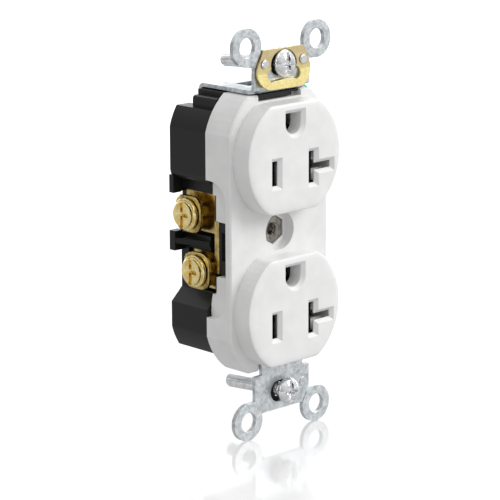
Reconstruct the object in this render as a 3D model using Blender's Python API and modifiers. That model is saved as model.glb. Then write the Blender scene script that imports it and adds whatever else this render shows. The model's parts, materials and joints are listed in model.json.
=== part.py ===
"""Duplex wall outlet, 20 A, tamper resistant, with a wrap-around mounting strap.

Frame: +X right, +Y into the wall, +Z up. The origin is the middle of the device, in the plane of the mounting
ears' backs, so the faces stand at negative Y. Dimensions are in millimetres and become metres as meshes are made.
"""

import math

import bmesh
import bpy
from mathutils import Matrix

MM = 0.001
GAP = 0.2  # left between pieces that touch on the real device

# Outlets
OUTLET_Z = 19.45  # each outlet's centre above or below the device's centre
BLADE_X = 6.35
BLADE_DROP = 3.35  # blade slots below the outlet's centre
GROUND_RISE = 8.55  # ground hole above the outlet's centre
SLOT_HALF = 0.9
HOT_HALF_HEIGHT = 3.1
NEUTRAL_HALF_HEIGHT = 4.05
BRANCH_END = 12.85  # outer end of the 20 A slot's sideways branch
GROUND_HALF = 2.65
LEAD_IN = 0.9

# Depths along Y
FACE = -5.8
SHOULDER = -0.15
COVER_BACK = 8.65
BODY_FRONT = 8.9
BODY_BACK = 22.6
STRAP_REAR = 18.6  # middle of the strap's rear leg
STRAP_THICKNESS = 1.0

# Cover and body outlines
HALF_WIDTH = 17.0
CREASE_Z = 25.9  # where the straight side turns into the end's arc
ARC_CENTRE_Z = 21.2
COVER_END = 35.2
BODY_END = 31.0
FACE_RADIUS = 15.95
FACE_FLAT = 13.65
FACE_ROUNDING = (2.1, 0.45)  # how far the soft edge reaches inwards and backwards
CHAMBER_RADIUS = 13.8
CHAMBER_FLAT = 12.2
CHAMBER_FRONT = -4.6

# Terminals, on both sides of the device
TERMINALS = {"upper": (17.4, 3.9), "lower": (14.4, -10.3)}  # screw axis as (Y, Z)
RECESS_FLOOR = 13.1
PAD_OUTER = 12.2
PAD_INNER = 11.4
BARRIER = ((12.4, 10.7), (12.4, 22.4), (16.6, 22.4), (16.6, 20.8), (13.3, 10.7))  # web's outline in X and Y
PLATE_INNER = 14.35
PLATE_THICKNESS = 0.9
HEAD_UNDER = 15.5
SHANK_RADIUS = 2.05

# Mounting
STRAP_HALF = 9.5
NECK_HALF = 7.15
UPPER_LEG_Z = 36.0
LOWER_LEG_Z = -32.4
YOKE_TOP = 46.5
YOKE_BOTTOM = -46.1
EAR_X = 12.0
EAR_Z = 47.45
EAR_RADIUS = 4.8
EAR_HOLE = 2.55
MOUNT_SCREWS = {"upper": (-1.6, 42.48, 3.7), "lower": (-2.9, -41.18, 4.8)}  # Y and Z under the head, and droop
STRAP_SLOTS = (42.4, -41.4)
CLIP_RIVET = (6.6, 42.9)  # X and Z
GROUND_SCREW = (4.6, 31.5)  # axis as (Y, Z)
GROUND_TAB = 10.6  # outer face of the strap's ground terminal tab

# Tamper shutters
SHUTTER_LEFT = -8.0
SHUTTER_RIGHT = 7.85
SHUTTER_DEPTH = (-4.35, -2.85)
GUIDE_DEPTH = (-2.55, -1.35)

OUTLETS = {"upper": OUTLET_Z, "lower": -OUTLET_Z}
ROUND = 40  # sides of a large round piece
SMALL_ROUND = 24


# ---------------------------------------------------------------- scene and materials


def clear_scene():
    for obj in list(bpy.data.objects):
        bpy.data.objects.remove(obj, do_unlink=True)


def new_collection(name):
    collection = bpy.data.collections.new(name)
    bpy.context.scene.collection.children.link(collection)
    return collection


def material(name, colour, roughness, metallic=0.0):
    made = bpy.data.materials.new(name)
    made.use_nodes = True
    shader = made.node_tree.nodes["Principled BSDF"]
    shader.inputs["Base Color"].default_value = (*colour, 1.0)
    shader.inputs["Roughness"].default_value = roughness
    shader.inputs["Metallic"].default_value = metallic
    return made


clear_scene()
PARTS = new_collection("duplex_wall_outlet")
CUTTERS = new_collection("cutters")
CUTTERS.hide_render = True

WHITE_PLASTIC = material("white_plastic", (0.86, 0.86, 0.85), 0.35)
BLACK_PLASTIC = material("black_plastic", (0.03, 0.033, 0.03), 0.45)
GALVANISED = material("galvanised_steel", (0.66, 0.70, 0.73), 0.4, 1.0)
BRASS = material("brass", (0.83, 0.66, 0.30), 0.25, 1.0)
ZINC = material("zinc_plate", (0.82, 0.83, 0.84), 0.2, 1.0)
GREEN_ZINC = material("green_screw", (0.05, 0.45, 0.28), 0.3, 0.8)
FIBRE = material("black_fibre", (0.06, 0.05, 0.045), 0.8)
SPRING_STEEL = material("spring_steel", (0.6, 0.6, 0.6), 0.25, 1.0)


# ---------------------------------------------------------------- shapes


def box(x, y, z):
    """A block given by its (low, high) along each axis."""
    bm = bmesh.new()
    bmesh.ops.create_cube(bm, size=1.0)
    spans = [(min(pair), max(pair)) for pair in (x, y, z)]
    scale = [high - low for low, high in spans]
    middle = [(low + high) / 2 for low, high in spans]
    bmesh.ops.scale(bm, verts=bm.verts, vec=scale)
    bmesh.ops.translate(bm, verts=bm.verts, vec=middle)
    return bm


TURNS = {
    "X": Matrix.Rotation(math.radians(90), 4, "Y"),
    "Y": Matrix.Rotation(math.radians(-90), 4, "X"),
    "Z": Matrix.Identity(4),
}


def rod(axis, centre, span, radius, sides=SMALL_ROUND, end_radius=None):
    """A cylinder or cone along an axis; centre gives the other two coordinates in X, Y, Z order."""
    bm = bmesh.new()
    low, high = min(span), max(span)
    far = radius if end_radius is None else end_radius
    bmesh.ops.create_cone(
        bm, cap_ends=True, segments=sides, radius1=radius, radius2=far, depth=high - low
    )
    bmesh.ops.transform(bm, matrix=TURNS[axis], verts=bm.verts)
    place = list(centre)
    place.insert("XYZ".index(axis), (low + high) / 2)
    bmesh.ops.translate(bm, verts=bm.verts, vec=place)
    return bm


def sweep(outline, span, insets=(), axis="Y"):
    """A closed outline swept along an axis from span[0] to span[1].

    The outline's points are (X, Z) for axis Y, (Y, Z) for axis X and (X, Y) for axis Z. Each (inward, onward)
    in insets narrows the far end by a further step, for a chamfered or rounded edge.
    """
    bm = bmesh.new()
    index = "XYZ".index(axis)
    corners = []
    for point in outline:
        place = list(point)
        place.insert(index, span[0])
        corners.append(bm.verts.new(place))
    base = bm.faces.new(corners)
    swept = bmesh.ops.extrude_face_region(bm, geom=[base])["geom"]
    shift = [0.0, 0.0, 0.0]
    shift[index] = span[1] - span[0]
    bmesh.ops.translate(
        bm, verts=[item for item in swept if isinstance(item, bmesh.types.BMVert)], vec=shift
    )
    far_end = [item for item in swept if isinstance(item, bmesh.types.BMFace)]
    bmesh.ops.recalc_face_normals(bm, faces=bm.faces)
    for inward, onward in insets:
        bmesh.ops.inset_region(
            bm, faces=far_end, thickness=inward, depth=onward, use_even_offset=True
        )
    bmesh.ops.recalc_face_normals(bm, faces=bm.faces)
    return bm


def arc(centre, radius, start, stop, steps):
    """Points along an arc, angles in degrees from the first axis towards the second."""
    points = []
    for step in range(steps + 1):
        angle = math.radians(start + (stop - start) * step / steps)
        points.append((centre[0] + radius * math.cos(angle), centre[1] + radius * math.sin(angle)))
    return points


def four_ways(quarter):
    """A whole outline from its points in the first quarter, going from the first axis to the second."""
    half = quarter + [(-x, z) for x, z in reversed(quarter)]
    return half + [(-x, -z) for x, z in half]


def block_outline(inset, end):
    """The device's long outline: straight sides, an arc at each corner and flat ends."""
    radius = math.hypot(HALF_WIDTH, CREASE_Z - ARC_CENTRE_Z) - inset
    start = math.degrees(math.acos((HALF_WIDTH - inset) / radius))
    stop = math.degrees(math.asin((end - ARC_CENTRE_Z) / radius))
    return four_ways(arc((0, ARC_CENTRE_Z), radius, start, stop, 6))


def face_outline(radius, flat, corner, centre_z):
    """A round face cut flat above and below, with a rounded corner between arc and flat."""
    corner_z = flat - corner
    corner_x = math.sqrt((radius - corner) ** 2 - corner_z**2)
    turn = math.degrees(math.atan2(corner_z, corner_x))
    quarter = arc((0, 0), radius, 3, turn, 9) + arc((corner_x, corner_z), corner, turn, 90, 3)[1:]
    return [(x, z + centre_z) for x, z in four_ways(quarter)]


def rounded_box(first, second, radius, steps=4):
    """A rectangle with rounded corners, given by its (low, high) along both axes."""
    (a0, a1), (b0, b1) = first, second
    corners = (
        ((a1 - radius, b0 + radius), -90),
        ((a1 - radius, b1 - radius), 0),
        ((a0 + radius, b1 - radius), 90),
        ((a0 + radius, b0 + radius), 180),
    )
    points = []
    for centre, start in corners:
        points += arc(centre, radius, start, start + 90, steps)
    return points


def soft_edge(reach, depth, steps=4):
    """The insets of an edge rounded as a quarter ellipse."""
    insets = []
    for step in range(steps):
        here = math.radians(90 * step / steps)
        there = math.radians(90 * (step + 1) / steps)
        inward = reach * (math.cos(here) - math.cos(there))
        onward = depth * (math.sin(there) - math.sin(here))
        insets.append((inward, onward))
    return insets


# ---------------------------------------------------------------- objects


def make_object(name, bm, collection):
    mesh = bpy.data.meshes.new(name)
    bmesh.ops.scale(bm, verts=bm.verts, vec=(MM, MM, MM))
    bm.to_mesh(mesh)
    bm.free()
    obj = bpy.data.objects.new(name, mesh)
    collection.objects.link(obj)
    return obj


def smooth(mesh):
    mesh.shade_smooth()
    mesh.set_sharp_from_angle(angle=math.radians(30))


def part(name, bm, look, origin=(0.0, 0.0, 0.0)):
    """A named piece with its origin, given in millimetres, on its joint's axis if it moves."""
    bmesh.ops.translate(bm, verts=bm.verts, vec=[-value for value in origin])
    obj = make_object(name, bm, PARTS)
    obj.location = [value * MM for value in origin]
    obj.data.materials.append(look)
    smooth(obj.data)
    return obj


def tool(bm):
    """A shape that others are cut by or joined to."""
    obj = make_object("tool", bm, CUTTERS)
    obj.hide_render = True
    obj.display_type = "WIRE"
    return obj


def combine(target, operation, shape):
    modifier = target.modifiers.new(operation.lower(), "BOOLEAN")
    modifier.operation = operation
    modifier.solver = "EXACT"
    modifier.object = shape


def cut(target, *shapes):
    for shape in shapes:
        combine(target, "DIFFERENCE", tool(shape))


def join(target, *shapes):
    for shape in shapes:
        combine(target, "UNION", tool(shape))


def turned(name, profile, look, origin, rotation):
    """A turned piece: profile of (radius, height) from the top to the bottom, about its own Z axis."""
    bm = bmesh.new()
    points = [bm.verts.new((radius, 0, height)) for radius, height in profile]
    for first, second in zip(points, points[1:]):
        bm.edges.new((first, second))
    obj = make_object(name, bm, PARTS)
    obj.location = [value * MM for value in origin]
    obj.rotation_euler = [math.radians(angle) for angle in rotation]
    obj.data.materials.append(look)
    screw = obj.modifiers.new("turn", "SCREW")
    screw.axis = "Z"
    screw.steps = SMALL_ROUND
    screw.render_steps = SMALL_ROUND
    screw.use_merge_vertices = True
    screw.merge_threshold = 0.00001
    screw.use_smooth_shade = True
    return obj


# ---------------------------------------------------------------- front cover


def flared(x, z, reach):
    """The 45 degree lead-in of a rectangular opening in a face."""
    wide = reach + 0.3
    outline = [
        (x[0] - wide, z[0] - wide),
        (x[1] + wide, z[0] - wide),
        (x[1] + wide, z[1] + wide),
        (x[0] - wide, z[1] + wide),
    ]
    return sweep(outline, (FACE - 0.6, FACE - 0.3), [(wide + 0.2, wide + 0.2)])


def ground_outline(centre_z, grow=0.0):
    """The ground hole: flat above, round below."""
    half = GROUND_HALF + grow
    bottom = arc((0, centre_z - 0.1), half, 180, 360, 12)
    return bottom + [(half, centre_z + GROUND_HALF + grow), (-half, centre_z + GROUND_HALF + grow)]


def cut_outlet_holes(cover, centre_z):
    blade_z = centre_z - BLADE_DROP
    through = (FACE - 1, CHAMBER_FRONT + 0.5)
    hot_x = (-BLADE_X - SLOT_HALF, -BLADE_X + SLOT_HALF)
    neutral_x = (BLADE_X - SLOT_HALF, BLADE_X + SLOT_HALF)
    branch_x = (BLADE_X, BRANCH_END)
    openings = (
        (hot_x, HOT_HALF_HEIGHT),
        (neutral_x, NEUTRAL_HALF_HEIGHT),
        (branch_x, SLOT_HALF),
    )
    for x, half_height in openings:
        z = (blade_z - half_height, blade_z + half_height)
        cut(cover, box(x, through, z), flared(x, z, LEAD_IN))
    ground_z = centre_z + GROUND_RISE
    wide = LEAD_IN + 0.3
    cut(
        cover,
        sweep(ground_outline(ground_z), (FACE - 1, -0.8)),
        sweep(ground_outline(ground_z, wide), (FACE - 0.6, FACE - 0.3), [(wide + 0.2, wide + 0.2)]),
    )


def side_notch(side):
    """The opening in the cover's side that shows the terminals; its floor follows the lower outlet's barrel."""
    outline = rounded_box((1.6, 14.0), (-21.0, 14.1), 5.6, 6)
    notch = tool(sweep(outline, (side * 14.6, side * 18.0), axis="X"))
    cut(notch, rod("Y", (0, -OUTLET_Z), (0, 15), 15.4, 64))
    return notch


def make_front_cover():
    front_edge = 0.4
    outline = block_outline(0, COVER_END)
    block = sweep(outline, (COVER_BACK, SHOULDER + front_edge), [(front_edge, front_edge)])
    cover = part("front_cover", block, WHITE_PLASTIC)
    for centre_z in OUTLETS.values():
        boss = face_outline(FACE_RADIUS, FACE_FLAT, 3.0, centre_z)
        rounding = soft_edge(*FACE_ROUNDING)
        join(cover, sweep(boss, (1.0, FACE + FACE_ROUNDING[1]), rounding))
        chamber = tool(
            sweep(
                face_outline(CHAMBER_RADIUS, CHAMBER_FLAT, 2.0, centre_z),
                (COVER_BACK + 1, CHAMBER_FRONT),
            )
        )
        if centre_z > 0:  # a wall stays between this chamber and the ground terminal
            cut(chamber, box((7.9, 20), (-6, 12), (25.4, 40)))
        combine(cover, "DIFFERENCE", chamber)
        collar = ground_outline(centre_z + GROUND_RISE, 1.25)
        join(cover, sweep(collar, (CHAMBER_FRONT - 0.3, -1.2)))
        cut_outlet_holes(cover, centre_z)
    for side in (-1, 1):
        combine(cover, "DIFFERENCE", side_notch(side))
        cut(
            cover,
            box((side * 8.6, side * 14.8), (7.5, 10), (-15.3, 10.0)),
            box((side * 8.6, side * 14.8), (6.8, 10), (-10.8, 3.5)),
            box((side * 11.0, side * 14.8), (1.7, 10), (-10.6, 3.4)),  # window for the break-off tab
            box((side * 6.4, side * 12.6), (1.8, 10), (-5.6, 5.6)),
        )
    cut(
        cover,
        rod("Y", (0, 0), (-2, 2.3), 4.9, 36),  # recess for the wall-plate screw
        rod("Y", (0, 0), (1.5, 5.0), 3.9, 6),  # nut pocket
        rod("Y", (0, 0), (4.0, 10), 2.2),
        rod("Y", (0, 6.0), (4.6, 10), 1.5, 16),  # assembly screws
        rod("Y", (0, -6.0), (4.6, 10), 1.5, 16),
        box((-7.35, 7.35), (-2, 2.0), (33.6, 37)),  # below the strap's upper bend
        box((-7.35, 5.1), (1.5, 9.2), (33.5, 37)),
        box((5.0, 7.35), (1.5, 9.2), (34.4, 37)),
        box((-7.45, 7.45), (-1.35, 1.4), (-37, -31.2)),  # the strap's lower neck
        box((-9.9, 9.9), (0.9, 10), (-33.3, -31.2)),  # the strap's lower leg
        box((9.2, 20), (0.25, 10), (26.4, 40)),  # ground terminal
        rod("X", (GROUND_SCREW[0], GROUND_SCREW[1]), (5.5, 10), 2.4),
    )
    return cover


# ---------------------------------------------------------------- rear body


def body_outline():
    """The body's section: the long outline with a recess for the terminals on each side."""
    inset = 0.3
    radius = math.hypot(HALF_WIDTH, CREASE_Z - ARC_CENTRE_Z) - inset
    half = HALF_WIDTH - inset
    start = math.degrees(math.acos(half / radius))
    stop = math.degrees(math.asin((BODY_END - ARC_CENTRE_Z) / radius))
    end = arc((0, ARC_CENTRE_Z), radius, start, stop, 6)
    lower = [(x, -z) for x, z in reversed(end)]
    corner = arc((half - 2.0, 14.8), 2.0, -90, 0, 3)
    recess = [(half, -19.3), (RECESS_FLOOR, -15.9), (RECESS_FLOOR, 12.8)]
    right = lower + recess + corner + end
    return right + [(-x, z) for x, z in reversed(right)]


def cut_terminal_pockets(body, side):
    wide = (side * PAD_INNER - side * 0.3, side * 14.0)
    inner = (side * 6.9, side * 11.6)
    rail = (side * 6.9, side * 8.4)
    blades = (side * 4.3, side * (12.6 if side > 0 else 8.4))
    cut(
        body,
        box(wide, (9.5, 21.3), (-1.4, 9.7)),
        box((side * 12.2, side * 14.0), (20, 24), (-1.4, 9.0)),  # the pressure plate's rear edge
        box(wide, (9.5, 19.3), (-15.5, -5.2)),
        box(wide, (8.5, 11.2), (-10.7, 3.2)),  # break-off tab
        box(inner, (7, 11.7), (-0.9, 9.7)),
        box(inner, (7, 11.7), (-15.0, -5.3)),
        box(rail, (7, 11.75), (9.0, 13.0)),
        box(rail, (7, 11.75), (-19.5, -14.5)),
        box(blades, (7, 14.5), (12.2, 20.0)),
        box(blades, (7, 14.5), (-26.7, -18.9)),
    )
    for y, z in TERMINALS.values():
        cut(body, rod("X", (y, z), (side * 7.0, side * 11.6), 2.4, 16))


def make_rear_body():
    body = part("rear_body", sweep(body_outline(), (BODY_FRONT, BODY_BACK - 0.5), [(0.5, 0.5)]), BLACK_PLASTIC)
    join(
        body,
        sweep(rounded_box((-13.1, 13.1), (28.0, 33.9), 0.8, 2), (BODY_FRONT, 17.4), [(0.4, 0.4)]),
        box((-10.9, 10.9), (BODY_FRONT, 17.8), (29.0, 35.2)),
        # tongue in the cover's recess, under the strap's upper leg
        box((-7.1, 4.8), (0.6, BODY_FRONT + 0.2), (33.85, 35.15)),
        box((4.7, 7.1), (0.61, BODY_FRONT + 0.2), (34.65, 35.14)),
    )
    for side in (-1, 1):
        join(
            body,
            # wire barrier: a web that widens towards the flange along its rear edge
            sweep([(side * x, y) for x, y in BARRIER], (-4.0, -2.6), axis="Z"),
            box((side * 12.9, side * 16.7), (BODY_BACK - 2.0, BODY_BACK - 0.01), (-5.9, -0.85)),
            # tab below the upper block
            box((side * 12.9, side * 16.65), (BODY_BACK - 1.6, BODY_BACK - 0.02), (8.9, 13.5)),
            # bracket in front of the break-off tab, with a gap in its middle
            box((side * 8.9, side * 11.0), (7.05, 9.3), (-10.4, 3.2)),
            box((side * 8.9, side * 13.2), (7.05, 7.7), (-10.4, 3.2)),
            box((side * 11.2, side * 13.19), (4.0, 7.69), (-10.39, -6.8)),
            box((side * 11.2, side * 13.19), (4.0, 7.69), (0.4, 3.19)),
        )
        cut_terminal_pockets(body, side)
    cut(
        body,
        box((-5.9, 5.9), (18.0, 24), (-40, 40)),
        box((-9.9, 9.9), (18.0, 24), (25.7, 40)),
        box((-9.9, 9.9), (18.0, 24), (-40, -27.7)),
        rod("Y", (0, 0), (8, 19), 2.2),
        rod("Y", (0, 6.0), (8, 19), 1.55, 16),
        rod("Y", (0, -6.0), (8, 19), 1.55, 16),
    )
    for centre_z in OUTLETS.values():
        ground_z = centre_z + GROUND_RISE
        cut(body, box((-3.4, 3.4), (8, 19), (ground_z - 2.8, ground_z + 2.8)))
    return body


# ---------------------------------------------------------------- mounting strap


def strap_path():
    """The strap's middle line as (Y, Z), with a rounded bend at each corner."""
    bend = 1.2
    front = -STRAP_THICKNESS / 2
    corners = (
        ((front + bend, UPPER_LEG_Z + bend), (180, 270)),
        ((STRAP_REAR - bend, UPPER_LEG_Z - bend), (90, 0)),
        ((STRAP_REAR - bend, LOWER_LEG_Z + bend), (0, -90)),
        ((front + bend, LOWER_LEG_Z - bend), (90, 180)),
    )
    points = [(front, YOKE_TOP)]
    for centre, (start, stop) in corners:
        points += arc(centre, bend, start, stop, 4)
    points.append((front, YOKE_BOTTOM))
    return points


def obround(z, half_length, radius, span):
    outline = arc((half_length, z), radius, -90, 90, 8) + arc((-half_length, z), radius, 90, 270, 8)
    return sweep(outline, span)


def make_strap():
    bm = bmesh.new()
    line = [bm.verts.new((-STRAP_HALF, y, z)) for y, z in strap_path()]
    edges = [bm.edges.new(pair) for pair in zip(line, line[1:])]
    swept = bmesh.ops.extrude_edge_only(bm, edges=edges)["geom"]
    moved = [item for item in swept if isinstance(item, bmesh.types.BMVert)]
    bmesh.ops.translate(bm, verts=moved, vec=(2 * STRAP_HALF, 0, 0))
    strap = part("mounting_strap", bm, GALVANISED)
    shell = strap.modifiers.new("thickness", "SOLIDIFY")
    shell.thickness = STRAP_THICKNESS * MM
    shell.offset = 0.0
    shell.use_even_offset = True
    for side in (-1, 1):
        outer = (side * NECK_HALF, side * 12)
        cut(
            strap,
            box(outer, (-3, 0.9), (35.0, 36.35)),
            box(outer, (-3, 1.3), (-36.2, -31.0)),
            box((side * 5.5, side * 12), (17, 21), (-28.0, 26.0)),
        )
        for z in (EAR_Z, -EAR_Z):
            inner_z = math.copysign(EAR_Z - EAR_RADIUS, z)
            join(
                strap,
                rod("Y", (side * EAR_X, z), (-STRAP_THICKNESS - 0.2, -0.02), EAR_RADIUS, ROUND),
                box((side * 8.0, side * EAR_X), (-STRAP_THICKNESS + 0.01, -0.01), (inner_z, z)),
            )
            cut(strap, rod("Y", (side * EAR_X, z), (-3, 3), EAR_HOLE, 32))
    for z in STRAP_SLOTS:
        cut(strap, obround(z, 1.3, 2.8, (-3, 2)))
    join(
        strap,
        box((8.0, GROUND_TAB), (1.8, 8.2), (UPPER_LEG_Z - 0.49, UPPER_LEG_Z + 0.49)),
        box((GROUND_TAB - 1.0, GROUND_TAB), (1.8, 8.2), (27.2, UPPER_LEG_Z + 0.49)),
    )
    cut(
        strap,
        box((-4.5, 4.5), (6.0, 11.3), (35, 37)),
        rod("X", GROUND_SCREW, (8.9, 12), 2.3),
        rod("Y", (0, 0), (17, 20), 2.3),
    )
    for z in (6.0, -6.0):
        cut(strap, rod("Y", (0, z), (17, 20), 1.6, 16))
    for x in (-CLIP_RIVET[0], CLIP_RIVET[0]):
        cut(strap, rod("Y", (x, CLIP_RIVET[1]), (-2, 1), 1.0, 16))
    for centre_z in OUTLETS.values():
        cut(strap, rod("Y", (0, centre_z + GROUND_RISE), (17, 20), 1.45, 16))
    dimple = rod("Y", (7.35, -40.7), (-STRAP_THICKNESS - 0.2, -0.5), 1.1, 20, 1.55)
    join(strap, dimple)
    return strap


def make_clip():
    """Brass plate on the upper yoke, bent forwards below its rivets, with a tongue that touches the screw."""
    bend_z = 40.5
    lean = 0.18
    back, front = -1.2, -1.65
    right = arc((4.6, 41.0), 4.6, -90, 0, 5) + [(9.1, 41.8), (6.9, 46.45)]
    outline = right + [(-x, z) for x, z in reversed(right)]
    bm = sweep(outline, (back, front))
    geometry = bm.verts[:] + bm.edges[:] + bm.faces[:]
    bmesh.ops.bisect_plane(bm, geom=geometry, plane_co=(0, 0, bend_z), plane_no=(0, 0, 1))
    for vert in bm.verts:
        vert.co.y -= lean * max(0.0, bend_z - vert.co.z)
    clip = part("self_grounding_clip", bm, BRASS)
    across = (-4, 0)
    opening = [(x * 1.19, z) for x, z in arc((0, 42.4), 3.72, -15, 195, 18)]
    lobe = arc((-4.1, 39.8), 1.6, 100, 300, 9)
    opening += lobe + [(-0.5, 38.65), (0.5, 38.65)] + [(-x, z) for x, z in reversed(lobe)]
    cut(
        clip,
        sweep(opening, across),
        rod("Y", (-CLIP_RIVET[0], CLIP_RIVET[1]), across, 1.0, 16),
        rod("Y", CLIP_RIVET, across, 1.0, 16),
    )
    return clip


def make_rivet(name, centre, span, radius, head_radius, head):
    """A rivet from its formed head at span[0] to its tail at span[1]."""
    low, high = span
    rivet = part(name, rod("Y", centre, (low, low + head), head_radius * 0.8, 20, head_radius), ZINC)
    join(
        rivet,
        rod("Y", centre, (low + head - 0.05, high - head + 0.05), radius, 16),
        rod("Y", centre, (high - head, high), head_radius, 20, head_radius * 0.8),
    )
    return rivet


# ---------------------------------------------------------------- mounting screws


def make_mounting_screw(name, under, axis_z, droop):
    """A 6-32 oval-head screw, hanging down by its own weight in the strap's slot.

    It turns about the point under its head, at the given Y and Z.
    """
    profile = [(0, 1.95), (1.2, 1.9), (2.2, 1.65), (3.0, 1.15), (3.45, 0.5), (3.45, 0.2)]
    profile += [(3.2, 0), (1.72, 0), (1.72, -21.2), (1.3, -21.8), (0, -21.8)]
    screw = turned(name, profile, ZINC, (0, under, axis_z), (90 - droop, 0, 0))
    top = under - 1.95
    hang = Matrix.Rotation(math.radians(-droop), 3, "X")
    for depth, half_x, half_z in ((0.8, 0.5, 2.7), (1.2, 1.6, 0.5)):
        slot = box((-half_x, half_x), (top - 1, top + depth), (axis_z - half_z, axis_z + half_z))
        bmesh.ops.rotate(slot, cent=(0, under, axis_z), matrix=hang, verts=slot.verts)
        cut(screw, slot)
    return screw


def make_retainer(name, under, axis_z, droop):
    """Fibre washer that holds a mounting screw in the strap."""
    z = axis_z - (0.65 - under) * math.tan(math.radians(droop))
    outline = rounded_box((-4.2, 4.2), (z - 3.75, z + 3.75), 0.8, 2)
    washer = part(name, sweep(outline, (0.25, 1.05)), FIBRE, (0, 0.65, z))
    cut(washer, rod("Y", (0, z), (-1, 2), 1.95))
    return washer


# ---------------------------------------------------------------- line contacts and terminals


def make_contact_strip(name, side, look):
    """Brass strip of one pole: blade contacts of both outlets, a pad behind each terminal screw, and the
    break-off tab that joins the two halves."""

    def across(low, high):
        return (side * low, side * high)

    pads = {"upper": (21.0, (-0.6, 9.4)), "lower": (18.9, (-14.9, -5.6))}
    strip = part(name, box(across(PAD_INNER, PAD_OUTER + 0.3), (7.9, 10.3), (-10.4, 2.9)), look)
    join(strip, box(across(PAD_OUTER + 0.2, PAD_OUTER + 1.1), (7.91, 9.5), (-10.39, 2.89)))
    for end, (rear, z) in pads.items():
        axis_y, axis_z = TERMINALS[end]
        blade_z = OUTLETS[end] - BLADE_DROP
        rail = (z[1] - 1, blade_z - 3.0) if end == "upper" else (blade_z + 3.0, z[0] + 1)
        join(
            strip,
            box(across(PAD_INNER + 0.01, PAD_OUTER), (9.81, rear), z),
            box(across(7.25, PAD_OUTER - 0.1), (10.6, 11.4), (z[0] + 0.1, z[1] - 0.1)),
            box(across(7.21, 7.99), (9.4, 11.39), rail),
            box(across(7.2, 8.0), (0.8, 14.2), (blade_z - 3.5, blade_z + 3.5)),
            box(across(4.7, 5.5), (0.8, 14.2), (blade_z - 3.5, blade_z + 3.5)),
            box(across(4.71, 7.99), (13.4, 14.19), (blade_z - 3.0, blade_z + 3.0)),
        )
        if side > 0:  # the neutral side also takes a sideways blade
            cut(strip, box(across(6.9, 8.3), (0, 12.6), (blade_z - 1.0, blade_z + 1.0)))
            join(
                strip,
                box(across(7.21, 12.2), (0.81, 12.5), (blade_z + 1.01, blade_z + 1.7)),
                box(across(7.21, 12.2), (0.81, 12.5), (blade_z - 1.7, blade_z - 1.01)),
            )
        cut(strip, rod("X", (axis_y, axis_z), across(10, 14), SHANK_RADIUS + 0.25))
    return strip


def make_pressure_plate(name, side, axis, half, look, inner=PLATE_INNER, thickness=PLATE_THICKNESS):
    """Clamp plate under a terminal screw's head."""
    y, z = axis
    outline = rounded_box((y - half[0], y + half[0]), (z - half[1], z + half[1]), min(half) - 1.7)
    span = (side * inner, side * (inner + thickness - 0.2))
    plate = part(name, sweep(outline, span, [(0.2, 0.2)], "X"), look, (side * (inner + thickness / 2), y, z))
    cut(plate, rod("X", axis, (side * (inner - 1), side * (inner + 2)), SHANK_RADIUS + 0.25))
    return plate


def make_terminal_screw(name, side, axis, under, length, look, flange=4.15):
    """An 8-32 screw: a raised disc on a flange, with a combination slot."""
    y, z = axis
    profile = [(0, 1.8), (flange - 1.05, 1.8), (flange - 0.75, 1.6), (flange - 0.7, 0.95)]
    profile += [(flange - 0.4, 0.85), (flange - 0.15, 0.75), (flange, 0.55), (flange, 0.15)]
    profile += [(flange - 0.15, 0), (SHANK_RADIUS, 0), (SHANK_RADIUS, 0.5 - length)]
    profile += [(SHANK_RADIUS - 0.5, -length), (0, -length)]
    screw = turned(name, profile, look, (side * under, y, z), (0, 90 * side, 0))
    face = under + 1.8
    depths = (side * (face - 0.8), side * (face + 1))
    deep = (side * (face - 1.2), side * (face + 1))
    cut(
        screw,
        box(depths, (y - 0.55, y + 0.55), (z - flange + 0.25, z + flange - 0.25)),
        box(deep, (y - 1.9, y + 1.9), (z - 0.55, z + 0.55)),
    )
    return screw


def make_terminals():
    for pole, side in (("hot", -1), ("neutral", 1)):
        look = BRASS if side < 0 else ZINC
        make_contact_strip(f"{pole}_contact_strip", side, BRASS)
        for end, axis in TERMINALS.items():
            make_pressure_plate(f"{pole}_{end}_pressure_plate", side, axis, (4.65, 4.75), look)
            make_terminal_screw(f"{pole}_{end}_terminal_screw", side, axis, HEAD_UNDER, 5.9, look)


# ---------------------------------------------------------------- grounding


def make_ground_contact(name, centre_z):
    """A U-shaped contact riveted to the strap's rear leg; the ground pin slides between its leaves."""
    z = (centre_z - 2.3, centre_z + 2.3)
    contact = part(name, box((-3.0, 3.0), (17.0, 17.8), z), BRASS)
    for side in (-1, 1):
        join(contact, box((side * 2.4, side * 2.99), (3.0, 17.79), (z[0] + 0.01, z[1] - 0.01)))
    cut(contact, rod("Y", (0, centre_z), (16, 19), 1.45, 16))
    return contact


def make_grounding():
    for end, centre_z in OUTLETS.items():
        height = centre_z + GROUND_RISE
        make_ground_contact(f"{end}_ground_contact", height)
        make_rivet(f"{end}_ground_contact_rivet", (0, height), (16.2, 19.9), 1.2, 1.9, 0.6)
    plate = GROUND_TAB + 0.15
    under = plate + 0.85
    make_pressure_plate("ground_clamp_plate", 1, GROUND_SCREW, (3.2, 3.5), ZINC, plate, 0.7)
    make_terminal_screw("ground_terminal_screw", 1, GROUND_SCREW, under, 5.4, GREEN_ZINC, 4.0)


# ---------------------------------------------------------------- tamper shutters


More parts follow.
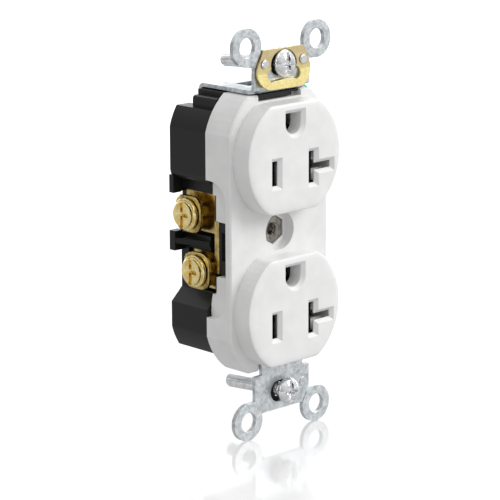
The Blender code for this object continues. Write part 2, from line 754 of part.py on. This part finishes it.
def make_shutter(name, centre_z):
    """Slider across both blade slots. Its ramps turn the push of two blades into travel to the left."""
    blade_z = centre_z - BLADE_DROP
    front, back = SHUTTER_DEPTH
    z = (blade_z - 4.3, blade_z + 4.3)
    middle = (SHUTTER_LEFT + SHUTTER_RIGHT) / 2
    block = box((SHUTTER_LEFT, SHUTTER_RIGHT), (front, back), z)
    shutter = part(name, block, BLACK_PLASTIC, (middle, (front + back) / 2, blade_z))
    cut(shutter, box((-4.8, -2.7), (-6, 0), (blade_z - 3.6, blade_z + 3.6)))
    for high_x, low_x in ((-7.4, -4.7), (5.4, SHUTTER_RIGHT + 0.2)):
        ramp = [(high_x, front - 0.2), (low_x, front - 0.2), (low_x, back - 0.3)]
        cut(shutter, sweep(ramp, (blade_z - 3.7, blade_z + 3.7), axis="Z"))
    return shutter


def make_shutter_guide(name, centre_z):
    """Plate behind the slider, with the rails it runs between and the post its spring pushes on."""
    blade_z = centre_z - BLADE_DROP
    ground_z = centre_z + GROUND_RISE
    outline = face_outline(CHAMBER_RADIUS - 0.3, CHAMBER_FLAT - 0.3, 2.0, centre_z)
    guide = part(name, sweep(outline, GUIDE_DEPTH), WHITE_PLASTIC)
    rails = (SHUTTER_DEPTH[0], GUIDE_DEPTH[0] + 0.1)
    through = (SHUTTER_DEPTH[0] - 1, GUIDE_DEPTH[1] + 1)
    join(
        guide,
        box((-9, 9), rails, (blade_z + 4.6, blade_z + 5.6)),
        box((-9, 9), rails, (blade_z - 5.6, blade_z - 4.6)),
        box((-12.75, -12.3), rails, (blade_z - 1.2, blade_z + 1.2)),
    )
    cut(
        guide,
        box((-7.4, -5.3), through, (blade_z - 3.4, blade_z + 3.4)),
        box((5.3, 7.4), through, (blade_z - 4.3, blade_z + 4.3)),
        box((7.0, 15), through, (blade_z - 1.15, blade_z + 1.15)),
        box((-4.15, 4.15), through, (ground_z - 4.25, ground_z + 6.0)),
    )
    if centre_z > 0:  # clear of the wall beside the ground terminal
        cut(guide, box((7.5, 20), through, (25.0, 40)))
    return guide


def make_shutter_spring(name, centre_z):
    """Compression spring between the guide's post and the slider's left end."""
    blade_z = centre_z - BLADE_DROP
    left, right = -12.1, SHUTTER_LEFT - 0.25
    radius, wire, turns, per_turn = 0.6, 0.13, 4.5, 9
    count = int(turns * per_turn) + 1
    curve = bpy.data.curves.new(name, "CURVE")
    curve.dimensions = "3D"
    curve.bevel_depth = wire * MM
    curve.bevel_resolution = 2
    curve.use_fill_caps = True
    spline = curve.splines.new("POLY")
    spline.points.add(count - 1)
    for index, point in enumerate(spline.points):
        angle = 2 * math.pi * index / per_turn
        x = left + wire + (right - left - 2 * wire) * index / (count - 1)
        y = radius * math.cos(angle)
        z = radius * math.sin(angle)
        point.co = (x * MM, y * MM, z * MM, 1.0)
    spring = bpy.data.objects.new(name, curve)
    spring.location = (0, sum(SHUTTER_DEPTH) / 2 * MM, blade_z * MM)
    curve.materials.append(SPRING_STEEL)
    PARTS.objects.link(spring)
    return spring


# ---------------------------------------------------------------- assembly


def make_nut():
    """Hex nut for the wall-plate screw."""
    nut = part("wall_plate_nut", rod("Y", (0, 0), (2.5, 4.8), 3.67, 6), ZINC)
    cut(nut, rod("Y", (0, 0), (2, 6), 1.55), rod("Y", (0, 0), (2.2, 3.0), 2.15, SMALL_ROUND, 1.35))
    return nut


def make_assembly_screw(name, z):
    """Screw through the strap's rear leg and the body into the cover."""
    screw = part(name, rod("Y", (0, z), (19.35, 20.5), 2.4, 20, 1.7), ZINC)
    join(screw, rod("Y", (0, z), (5.2, 19.45), 1.3, 16))
    cut(screw, box((-1.4, 1.4), (19.9, 22), (z - 0.3, z + 0.3)))
    return screw


def make_outlet():
    make_front_cover()
    make_rear_body()
    make_strap()
    make_clip()
    x, z = CLIP_RIVET
    make_rivet("left_clip_rivet", (-x, z), (-2.2, 0.7), 0.8, 1.2, 0.4)
    make_rivet("right_clip_rivet", (x, z), (-2.2, 0.7), 0.8, 1.2, 0.4)
    for end, hang in MOUNT_SCREWS.items():
        make_mounting_screw(f"{end}_mounting_screw", *hang)
        make_retainer(f"{end}_screw_retainer", *hang)
    make_nut()
    make_terminals()
    make_grounding()
    for end, centre_z in OUTLETS.items():
        make_shutter(f"{end}_shutter", centre_z)
        make_shutter_guide(f"{end}_shutter_guide", centre_z)
        make_shutter_spring(f"{end}_shutter_spring", centre_z)
    make_assembly_screw("upper_assembly_screw", 6.0)
    make_assembly_screw("lower_assembly_screw", -6.0)


make_outlet()
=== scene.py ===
"""Studio picture of a duplex wall outlet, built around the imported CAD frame.

The frame is in metres: +X right, +Y into the wall, +Z up. Hardware sizes are in millimetres, as are the names
that end in _MM.
"""

import json
import math

import bmesh
import bpy
from mathutils import Matrix, Vector


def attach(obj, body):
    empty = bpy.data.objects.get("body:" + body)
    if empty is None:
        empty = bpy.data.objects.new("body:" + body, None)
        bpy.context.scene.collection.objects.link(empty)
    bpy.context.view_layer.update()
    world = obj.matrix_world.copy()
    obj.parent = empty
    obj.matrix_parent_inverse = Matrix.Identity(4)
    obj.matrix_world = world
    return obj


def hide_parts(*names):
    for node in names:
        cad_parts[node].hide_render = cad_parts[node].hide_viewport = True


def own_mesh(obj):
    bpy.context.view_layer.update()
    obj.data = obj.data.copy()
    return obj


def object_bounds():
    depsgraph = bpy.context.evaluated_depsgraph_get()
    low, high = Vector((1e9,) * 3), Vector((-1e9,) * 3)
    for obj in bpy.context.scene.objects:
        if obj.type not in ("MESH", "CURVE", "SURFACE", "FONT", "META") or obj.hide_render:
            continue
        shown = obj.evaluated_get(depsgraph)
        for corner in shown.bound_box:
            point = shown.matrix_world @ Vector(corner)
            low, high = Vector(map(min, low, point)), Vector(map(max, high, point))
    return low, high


MM = 0.001

# Camera, at the height and angle of a catalogue picture
CAMERA_YAW = 43.81
CAMERA_PITCH = 13.38
CAMERA_ROLL = -0.18
CAMERA_PLACE_MM = (-398.28, -406.48, 132.03)
CAMERA_LENS = 167.82
CAMERA_SHIFT = (-0.0107, -0.0130)
SENSOR_WIDTH = 36.0

# Surroundings: a base glow, and how much each direction adds
WORLD_BASE = 0.22
WORLD_GLOW = (((0, 0, 1), 0.6), ((0.5, -0.86, 0.1), 0.4), ((0.69, 0.72, 0.15), 0.6))
FLOOR_GLOW = 0.48  # as it lights the object
FLOOR_SEEN = ((0.0, 0.57), (0.06, 0.85))  # as the camera sees it: strength by metres in front of the object, dimmer near it as a painted reflection
FLOOR_SIZE = 8.0
BACKDROP_DISTANCE = 1.6
BACKDROP_HEIGHT = 0.4
BACKDROP_SCALE = (3.0, 1.4, 1.0)
BACKDROP_GLOW = 2.2

# Area lights: place, size and power, all aimed at the device's centre
LIGHTS = {
    "key": ((0.65, -0.75, 0.6), (0.6, 0.6), 6.5),
    "left_strip": ((-0.8, -0.22, 0.2), (0.05, 0.7), 0.35),
    "top_strip": ((-0.35, -0.25, 0.9), (0.05, 0.5), 0.3),
}

# Hardware, in the CAD frame and in millimetres
PITCH = 0.794
RINGS_PER_TURN = 6
SIDES = 64
SHARP_ANGLE = math.radians(32)
TERMINALS = {"upper": (17.4, 3.9), "lower": (14.4, -10.3)}  # screw axis as (Y, Z)
HEAD_UNDER = 15.5
GROUND_SCREW = (11.6, 4.6, 31.5)
MOUNT_SCREWS = {  # the point under the head, and the droop in degrees
    "upper": ((0, -1.6, 42.48), 3.7),
    "lower": ((0, -2.9, -41.18), 4.8),
}
NUT_THREAD_Y = 3.75
CLIP_BEND_Z = 40.5
CLIP_SHADE_RISE = 1.6  # the clip turns from its painted reflection to its painted shade over this height


# ---------------------------------------------------------------- materials


class Nodes:
    """A short way to write a material's node tree."""

    def __init__(self, name):
        self.material = bpy.data.materials.new(name)
        self.material.use_nodes = True
        self.tree = self.material.node_tree
        self.shader = self.tree.nodes["Principled BSDF"]

    def add(self, kind, inputs=None, **settings):
        node = self.tree.nodes.new(kind)
        for key, value in settings.items():
            setattr(node, key, value)
        for key, value in (inputs or {}).items():
            self.set(node, key, value)
        return node

    def set(self, node, key, value):
        """Sets an input to a value, or links it to another node's output."""
        if isinstance(value, bpy.types.NodeSocket):
            self.tree.links.new(value, node.inputs[key])
        else:
            node.inputs[key].default_value = value

    def place(self):
        """The point in the piece's own frame, in metres."""
        return self.add("ShaderNodeTexCoord").outputs["Object"]

    def noise(self, scale, detail=3.0, roughness=0.5, vector=None):
        place = self.place() if vector is None else vector
        settings = {"Scale": scale, "Detail": detail, "Roughness": roughness, "Vector": place}
        return self.add("ShaderNodeTexNoise", settings).outputs["Fac"]

    def ramp(self, factor, stops):
        """A colour ramp through (position, colour) stops."""
        node = self.add("ShaderNodeValToRGB", {"Fac": factor})
        elements = node.color_ramp.elements
        while len(elements) < len(stops):
            elements.new(0.5)
        for element, (position, colour) in zip(elements, stops):
            element.position = position
            element.color = (*colour, 1.0)
        return node.outputs["Color"]

    def span(self, factor, low, high):
        """Maps 0 to 1 onto low to high."""
        settings = {"Value": factor, "To Min": low, "To Max": high}
        return self.add("ShaderNodeMapRange", settings).outputs["Result"]

    def blend(self, factor, first, second):
        """Mixes two colours, from first at 0 to second at 1."""
        node = self.add("ShaderNodeMix", data_type="RGBA")
        for name, value in (("Factor", factor), ("A", first), ("B", second)):
            # float, vector and colour mixing share these names, and only the sockets in use are enabled
            socket = next(
                item for item in node.inputs if item.name == name and item.type != "VECTOR" and item.enabled
            )
            if isinstance(value, bpy.types.NodeSocket):
                self.tree.links.new(value, socket)
            else:
                socket.default_value = value
        return next(item for item in node.outputs if item.enabled)

    def soft_corner(self, radius):
        """A normal that rounds sharp corners by a radius in metres."""
        return self.add("ShaderNodeBevel", {"Radius": radius}, samples=4).outputs["Normal"]

    def bump(self, height, strength, distance, normal=None):
        settings = {"Height": height, "Strength": strength, "Distance": distance}
        if normal is not None:
            settings["Normal"] = normal
        return self.add("ShaderNodeBump", settings).outputs["Normal"]

    def finish(self, **inputs):
        for key, value in inputs.items():
            self.set(self.shader, key.replace("_", " "), value)
        return self.material


def plastic(name, colour, roughness, grain, grain_depth, corner, sheen=0.0, gloss=0.5):
    """Moulded plastic: a fine grain, slow waves in the gloss and slightly rounded corners."""
    nodes = Nodes(name)
    wave = nodes.noise(180.0, 2.0)
    fine = nodes.noise(grain, 4.0, 0.6)
    darker = tuple(value * 0.94 for value in colour)
    nodes.finish(
        Base_Color=nodes.ramp(wave, [(0.35, darker), (0.65, colour)]),
        Roughness=nodes.span(wave, roughness - 0.04, roughness + 0.06),
        Normal=nodes.bump(fine, 0.35, grain_depth, nodes.soft_corner(corner)),
        Specular_IOR_Level=gloss,
        Coat_Weight=sheen,
        Coat_Roughness=0.25,
    )
    return nodes.material


def metal(name, light, dark, roughness, patch=300.0):
    """Plated or bare metal: cloudy patches of two tones, a fine grain in surface and gloss, soft corners."""
    nodes = Nodes(name)
    cloud = nodes.noise(patch, 6.0, 0.65)
    fine = nodes.noise(4000.0, 3.0, 0.6)
    nodes.finish(
        Base_Color=nodes.ramp(cloud, [(0.36, dark), (0.62, light)]),
        Metallic=1.0,
        Roughness=nodes.span(fine, roughness * 0.7, roughness * 1.3),
        Normal=nodes.bump(fine, 0.25, 0.00001, nodes.soft_corner(0.00012)),
    )
    return nodes.material


def clip_brass():
    """Rolled brass of the grounding clip, with painted light: a darker painted shade above the bend and a
    bright painted reflection below it.
    """
    nodes = Nodes("clip_brass")
    height = nodes.add("ShaderNodeSeparateXYZ", {"Vector": nodes.place()}).outputs["Z"]
    bend, shade_top = CLIP_BEND_Z * MM, (CLIP_BEND_Z + CLIP_SHADE_RISE) * MM
    reach = {"Value": height, "From Min": bend, "From Max": shade_top}
    above = nodes.add("ShaderNodeMapRange", reach).outputs["Result"]
    cloud = nodes.noise(420.0, 5.0, 0.6)
    # Two tones of one brass: the brighter is a painted reflection below the bend, the darker is a painted
    # shade above it.
    bright = nodes.ramp(cloud, [(0.3, (0.86, 0.70, 0.28)), (0.7, (1.0, 0.88, 0.42))])
    shaded_tone = nodes.ramp(cloud, [(0.3, (0.62, 0.50, 0.26)), (0.7, (0.84, 0.70, 0.40))])
    fine = nodes.noise(3800.0, 3.0, 0.6)
    nodes.finish(
        Base_Color=nodes.blend(above, bright, shaded_tone),
        Metallic=1.0,
        Roughness=nodes.span(fine, 0.18, 0.34),
        Normal=nodes.bump(fine, 0.3, 0.00001, nodes.soft_corner(0.0001)),
    )
    return nodes.material


def galvanised(name):
    """Hot-dipped sheet: pale blue-grey with fine crystal patches and a cloudy mottle."""
    nodes = Nodes(name)
    place = nodes.place()
    cells = nodes.add("ShaderNodeTexVoronoi", {"Scale": 900.0, "Vector": place, "Randomness": 1.0})
    tone = nodes.ramp(cells.outputs["Color"], [(0.1, (0.47, 0.50, 0.52)), (0.9, (0.76, 0.80, 0.82))])
    cloud = nodes.noise(700.0, 6.0, 0.7)
    mottle = nodes.ramp(cloud, [(0.38, (0.36, 0.39, 0.41)), (0.6, (0.84, 0.87, 0.89))])
    fine = nodes.noise(2600.0, 4.0, 0.7)
    nodes.finish(
        Base_Color=nodes.blend(0.55, tone, mottle),
        Metallic=0.85,
        Roughness=nodes.span(cloud, 0.30, 0.5),
        Normal=nodes.bump(fine, 0.4, 0.00003, nodes.soft_corner(0.00015)),
    )
    return nodes.material


def floor_material():
    """White sweep with a painted reflection, a dimmer glow near the object that fades towards the camera, and
    no hard shadow.
    """
    nodes = Nodes("floor_white")
    yaw = math.radians(CAMERA_YAW)
    forwards = nodes.add("ShaderNodeVectorMath", operation="DOT_PRODUCT")
    # both of this node's inputs are called Vector, so they go by number
    nodes.set(forwards, 1, (-math.sin(yaw), -math.cos(yaw), 0.0))
    nodes.set(forwards, 0, nodes.place())
    (near, dim), (far, bright) = FLOOR_SEEN
    fade = {"From Min": near, "From Max": far, "To Min": dim, "To Max": bright}
    ramp = nodes.add("ShaderNodeMapRange", fade | {"Value": forwards.outputs["Value"]})
    seen = nodes.add("ShaderNodeLightPath").outputs["Is Camera Ray"]
    nodes.finish(
        Base_Color=(0.02, 0.02, 0.02, 1.0),
        Roughness=0.1,
        Emission_Color=(1.0, 1.0, 1.0, 1.0),
        Emission_Strength=nodes.span(seen, FLOOR_GLOW, ramp.outputs["Result"]),
    )
    return nodes.material


LOOKS = {
    "white_plastic": plastic(
        "satin_white_nylon", (0.86, 0.86, 0.855), 0.32, 5200.0, 0.000012, 0.0002, sheen=0.15
    ),
    "black_plastic": plastic(
        "black_moulding", (0.008, 0.0095, 0.0085), 0.42, 3600.0, 0.00003, 0.0002, gloss=0.33
    ),
    "galvanised_steel": galvanised("galvanised_sheet"),
    "brass": metal("stamped_brass", (0.80, 0.62, 0.25), (0.28, 0.20, 0.07), 0.2, 420.0),
    "zinc_plate": metal("bright_zinc", (0.90, 0.91, 0.92), (0.68, 0.70, 0.72), 0.16),
    "green_screw": metal("green_zinc", (0.10, 0.62, 0.42), (0.04, 0.42, 0.26), 0.25),
    "black_fibre": plastic("pressed_fibre", (0.02, 0.018, 0.016), 0.8, 2400.0, 0.00006, 0.0001),
    "spring_steel": metal("spring_wire", (0.75, 0.75, 0.76), (0.6, 0.6, 0.61), 0.25),
}
SCREW_BRASS = metal("turned_brass", (0.98, 0.83, 0.42), (0.78, 0.60, 0.24), 0.11, 500.0)
SCREW_ZINC = metal("bright_zinc_screw", (0.93, 0.93, 0.94), (0.70, 0.71, 0.73), 0.14, 900.0)
NUT_STEEL = metal("dulled_zinc_nut", (0.40, 0.38, 0.34), (0.15, 0.14, 0.12), 0.28, 900.0)
# Shutters: near black and dull, darker than the black moulding, so the face's slots look black inside.
SHUTTER_BLACK = plastic("matte_acetal", (0.003, 0.003, 0.003), 0.75, 2400.0, 0.00001, 0.00003, gloss=0.1)
SPECIAL_LOOKS = {
    "self_grounding_clip": clip_brass(),
    "wall_plate_nut": NUT_STEEL,
    "upper_shutter": SHUTTER_BLACK,
    "lower_shutter": SHUTTER_BLACK,
}


# ---------------------------------------------------------------- threaded pieces


def thread_height(turns):
    """A 60 degree thread's height, 0 at its root and 1 at its crest, after a number of turns."""
    return min(1.0, max(0.0, 1.3 - 2.6 * abs(turns % 1.0 - 0.5)))


def mesh_object(name, bm):
    """An object from a bmesh drawn in millimetres, which is freed."""
    bmesh.ops.recalc_face_normals(bm, faces=bm.faces)
    bmesh.ops.scale(bm, verts=bm.verts, vec=(MM, MM, MM))
    mesh = bpy.data.meshes.new(name)
    bm.to_mesh(mesh)
    bm.free()
    made = bpy.data.objects.new(name, mesh)
    bpy.context.scene.collection.objects.link(made)
    return made


def shade(mesh):
    """Smooth shading, with the sharper edges kept."""
    mesh.shade_smooth()
    mesh.set_sharp_from_angle(angle=SHARP_ANGLE)


def turned_piece(name, rings, look, inside_out=False):
    """A shape turned about its own Z axis, from rings of (height, radius, thread depth, knurl depth)."""
    bm = bmesh.new()
    levels = []
    for height, radius, thread, knurl in rings:
        level = []
        for step in range(SIDES):
            turn = step / SIDES
            reach = radius - thread * (1 - thread_height(height / PITCH + turn)) - knurl * (step % 2)
            angle = 2 * math.pi * turn
            level.append(bm.verts.new((reach * math.cos(angle), reach * math.sin(angle), height)))
        levels.append(level)
    loop = list(zip(levels, levels[1:]))
    if inside_out:
        loop.append((levels[-1], levels[0]))
    for above, below in loop:
        for step in range(SIDES):
            after = (step + 1) % SIDES
            bm.faces.new((above[step], below[step], below[after], above[after]))
    if not inside_out:
        bm.faces.new(levels[0])
        bm.faces.new(levels[-1])
    piece = mesh_object(name, bm)
    shade(piece.data)
    piece.data.materials.append(look)
    return piece


def plain(pairs):
    """Rings without a thread or knurl."""
    return [(height, radius, 0.0, 0.0) for height, radius in pairs]


def threaded(start, stop, radius, depth):
    """Rings along a thread."""
    count = int(abs(start - stop) / PITCH * RINGS_PER_TURN)
    heights = [start + (stop - start) * step / count for step in range(count + 1)]
    return [(height, radius, depth, 0.0) for height in heights]


def recess_cutter(outline, top, depth, closing):
    """A prism of an outline's shape, standing in a head's top and closing in towards its bottom."""
    bm = bmesh.new()
    levels = []
    for height, scale in ((top + 1, 1.0), (top, 1.0), (top - depth, closing)):
        levels.append([bm.verts.new((x * scale, y * scale, height)) for x, y in outline])
    for above, below in zip(levels, levels[1:]):
        for index in range(len(outline)):
            after = (index + 1) % len(outline)
            bm.faces.new((above[index], below[index], below[after], above[after]))
    bm.faces.new(levels[0])
    bm.faces.new(levels[-1])
    return mesh_object("recess_cutter", bm)


def drive(top, slot, slot_depth, reach, depth):
    """A combination drive's cutters: a slot, given by its half sizes in X and Y, and a cross recess."""
    x, y = slot
    wing = min(slot) * 0.85
    corner = [(wing, reach), (wing, wing), (reach, wing)]
    half = corner + [(a, -b) for a, b in reversed(corner)]
    cross = half + [(-a, b) for a, b in reversed(half)]
    return (
        recess_cutter([(x, y), (x, -y), (-x, -y), (-x, y)], top, slot_depth, 0.92),
        recess_cutter(cross, top, depth, 0.5),
    )


def carve(piece, cutters):
    """Cuts the recesses into the piece's mesh and drops the cutters."""
    for cutter in cutters:
        modifier = piece.modifiers.new("drive", "BOOLEAN")
        modifier.operation = "DIFFERENCE"
        modifier.solver = "EXACT"
        modifier.object = cutter
    bpy.context.view_layer.update()
    shape = piece.evaluated_get(bpy.context.evaluated_depsgraph_get())
    mesh = bpy.data.meshes.new_from_object(shape)
    piece.modifiers.clear()
    piece.data = mesh
    shade(mesh)
    for cutter in cutters:
        bpy.data.objects.remove(cutter, do_unlink=True)


def seat(piece, node, place, rotation):
    """Stands a turned piece where its CAD node is and gives it that node's motion."""
    piece.location = Vector(place) * MM
    piece.rotation_euler = [math.radians(angle) for angle in rotation]
    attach(piece, node)
    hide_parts(node)


def make_terminal_screw(node, place, side, look, flange=4.15, length=5.9):
    """8-32 terminal screw: raised disc, serrated flange, rolled thread."""
    disc = flange - 0.8
    head = plain([(1.72, disc - 1.1), (1.8, disc - 0.6), (1.76, disc - 0.15), (1.62, disc)])
    head += plain([(1.0, disc + 0.04), (0.9, disc + 0.14), (0.86, disc + 0.4), (0.76, disc + 0.62)])
    head += [(0.62, flange - 0.04, 0.0, 0.0), (0.52, flange, 0.0, 0.07), (0.16, flange, 0.0, 0.07)]
    head += plain([(0.04, flange - 0.1), (0.0, flange - 0.3), (0.0, 2.1), (-0.2, 1.8)])
    thread = threaded(-0.35, 0.5 - length, 2.05, 0.3)
    tip = plain([(0.35 - length, 1.72), (-length, 1.45)])
    screw = turned_piece(f"{node}_detail", head + thread + tip, look)
    carve(screw, drive(1.8, (disc - 0.1, 0.6), 0.9, 2.3, 1.6))
    seat(screw, node, place, (0, 90 * side, 0))


def make_mounting_screw(node, place, droop):
    """6-32 oval-head screw: domed head with slot and cross, rolled thread, blunt point."""
    dome = [(1.95, 0.5), (1.9, 1.2), (1.8, 1.75), (1.63, 2.25), (1.38, 2.7), (1.05, 3.08), (0.72, 3.32)]
    under = [(0.5, 3.44), (0.36, 3.45), (0.2, 3.42), (0.05, 3.28), (0.0, 3.1), (0.0, 1.74), (-0.3, 1.5)]
    thread = threaded(-0.6, -21.2, 1.72, 0.26)
    tip = plain([(-21.5, 1.4), (-21.8, 1.15)])
    screw = turned_piece(f"{node}_detail", plain(dome + under) + thread + tip, SCREW_ZINC)
    carve(screw, drive(1.95, (0.6, 2.9), 0.9, 2.4, 1.8))
    seat(screw, node, place, (90 - droop, 0, 0))


def make_nut_thread():
    """The nut's tapped bore: a thin threaded sleeve inside it."""
    outer = plain([(0.82, 1.62), (-1.0, 1.62)])
    bore = threaded(-1.0, 0.82, 1.56, 0.24)
    sleeve = turned_piece("nut_thread", outer + bore, NUT_STEEL, True)
    sleeve.location = Vector((0, NUT_THREAD_Y, 0)) * MM
    sleeve.rotation_euler = (math.radians(90), 0, 0)
    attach(sleeve, "device")


def make_hardware():
    for pole, side, look in (("hot", -1, SCREW_BRASS), ("neutral", 1, SCREW_ZINC)):
        for end, (y, z) in TERMINALS.items():
            place = (side * HEAD_UNDER, y, z)
            make_terminal_screw(f"{pole}_{end}_terminal_screw", place, side, look)
    green = LOOKS["green_screw"]
    make_terminal_screw("ground_terminal_screw", GROUND_SCREW, 1, green, flange=4.0, length=5.4)
    for end, (place, droop) in MOUNT_SCREWS.items():
        make_mounting_screw(f"{end}_mounting_screw", place, droop)
    make_nut_thread()


def make_return_spring(node, coil):
    """A copy of a shutter's spring, standing in for its CAD node and fixed to the device."""
    spring = bpy.data.objects.new(f"{node}_coil", coil.data.copy())
    bpy.context.scene.collection.objects.link(spring)
    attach(spring, "device")
    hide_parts(node)
    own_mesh(spring)


# ---------------------------------------------------------------- stage


def make_floor(height):
    bpy.ops.mesh.primitive_plane_add(size=FLOOR_SIZE, location=(0, 0, height))
    floor = bpy.context.object
    floor.name = "floor"
    floor.data.materials.append(floor_material())


def make_backdrop():
    """A white card far behind, for glossy rays alone, so that the floor has white to reflect."""
    yaw = math.radians(CAMERA_YAW)
    x, y = math.sin(yaw) * BACKDROP_DISTANCE, math.cos(yaw) * BACKDROP_DISTANCE
    bpy.ops.mesh.primitive_plane_add(size=1.0, location=(x, y, BACKDROP_HEIGHT))
    card = bpy.context.object
    card.name = "backdrop"
    card.rotation_euler = (math.radians(90), 0, -yaw)
    card.scale = BACKDROP_SCALE
    for kind in ("camera", "diffuse", "transmission", "shadow"):
        setattr(card, f"visible_{kind}", False)
    nodes = Nodes("backdrop_white")
    nodes.finish(
        Base_Color=(0.0, 0.0, 0.0, 1.0),
        Emission_Color=(1.0, 1.0, 1.0, 1.0),
        Emission_Strength=BACKDROP_GLOW,
    )
    card.data.materials.append(nodes.material)


def make_light(name, place, size, power):
    data = bpy.data.lights.new(name, "AREA")
    data.shape = "RECTANGLE"
    data.size, data.size_y = size
    data.energy = power
    light = bpy.data.objects.new(name, data)
    light.location = place
    light.rotation_euler = (-Vector(place)).to_track_quat("-Z", "Y").to_euler()
    bpy.context.scene.collection.objects.link(light)


def make_world():
    """Soft studio surroundings: a base glow that brightens towards each direction in WORLD_GLOW."""
    world = bpy.data.worlds.new("studio")
    world.use_nodes = True
    tree = world.node_tree
    direction = tree.nodes.new("ShaderNodeTexCoord").outputs["Generated"]
    total = None
    for toward, amount in WORLD_GLOW:
        dot = tree.nodes.new("ShaderNodeVectorMath")
        dot.operation = "DOT_PRODUCT"
        dot.inputs[1].default_value = Vector(toward).normalized()
        tree.links.new(direction, dot.inputs[0])
        part = tree.nodes.new("ShaderNodeMapRange")
        part.inputs["To Max"].default_value = amount
        tree.links.new(dot.outputs["Value"], part.inputs["Value"])
        added = tree.nodes.new("ShaderNodeMath")
        added.operation = "ADD"
        added.inputs[1].default_value = WORLD_BASE
        if total is not None:
            tree.links.new(total, added.inputs[1])
        tree.links.new(part.outputs["Result"], added.inputs[0])
        total = added.outputs["Value"]
    background = tree.nodes["Background"]
    background.inputs["Color"].default_value = (1.0, 1.0, 1.0, 1.0)
    tree.links.new(total, background.inputs["Strength"])
    bpy.context.scene.world = world


def make_camera():
    yaw, pitch, roll = (math.radians(angle) for angle in (CAMERA_YAW, CAMERA_PITCH, CAMERA_ROLL))
    ahead = Vector((math.sin(yaw) * math.cos(pitch), math.cos(yaw) * math.cos(pitch), -math.sin(pitch)))
    level = Vector((math.cos(yaw), -math.sin(yaw), 0.0))
    upright = level.cross(ahead)
    right = level * math.cos(roll) + upright * math.sin(roll)
    up = upright * math.cos(roll) - level * math.sin(roll)
    turn = Matrix((right, up, -ahead)).transposed()
    data = bpy.data.cameras.new("camera")
    data.lens = CAMERA_LENS
    data.sensor_width = SENSOR_WIDTH
    data.shift_x, data.shift_y = CAMERA_SHIFT
    data.clip_start, data.clip_end = 0.01, 20.0
    camera = bpy.data.objects.new("camera", data)
    camera.matrix_world = Matrix.Translation(Vector(CAMERA_PLACE_MM) * MM) @ turn.to_4x4()
    bpy.context.scene.collection.objects.link(camera)
    bpy.context.scene.camera = camera


def make_stage(low):
    make_floor(low.z - 0.0001)
    make_backdrop()
    make_world()
    for name, (place, size, power) in LIGHTS.items():
        make_light(name, place, size, power)
    make_camera()
    bpy.context.scene.view_settings.view_transform = "Standard"
    bpy.context.scene.view_settings.look = "None"


# ---------------------------------------------------------------- build

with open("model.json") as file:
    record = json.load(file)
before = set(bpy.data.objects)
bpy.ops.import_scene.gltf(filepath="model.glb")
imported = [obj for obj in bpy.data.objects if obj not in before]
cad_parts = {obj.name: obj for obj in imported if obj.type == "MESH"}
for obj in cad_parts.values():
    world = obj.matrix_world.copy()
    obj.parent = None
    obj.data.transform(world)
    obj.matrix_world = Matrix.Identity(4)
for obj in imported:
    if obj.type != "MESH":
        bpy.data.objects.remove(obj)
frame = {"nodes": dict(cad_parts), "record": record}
cad_box = [list(corner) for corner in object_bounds()]
slots = {entry["node"]: entry["material_slot"] for entry in frame["record"]["subparts"]}

for node, obj in frame["nodes"].items():
    obj.data.materials.clear()
    obj.data.materials.append(SPECIAL_LOOKS.get(node, LOOKS[slots[node]]))

make_hardware()
for end in TERMINALS:
    coil = f"{end}_shutter_spring"
    make_return_spring(coil, frame["nodes"][coil])

make_stage(Vector(cad_box[0]))
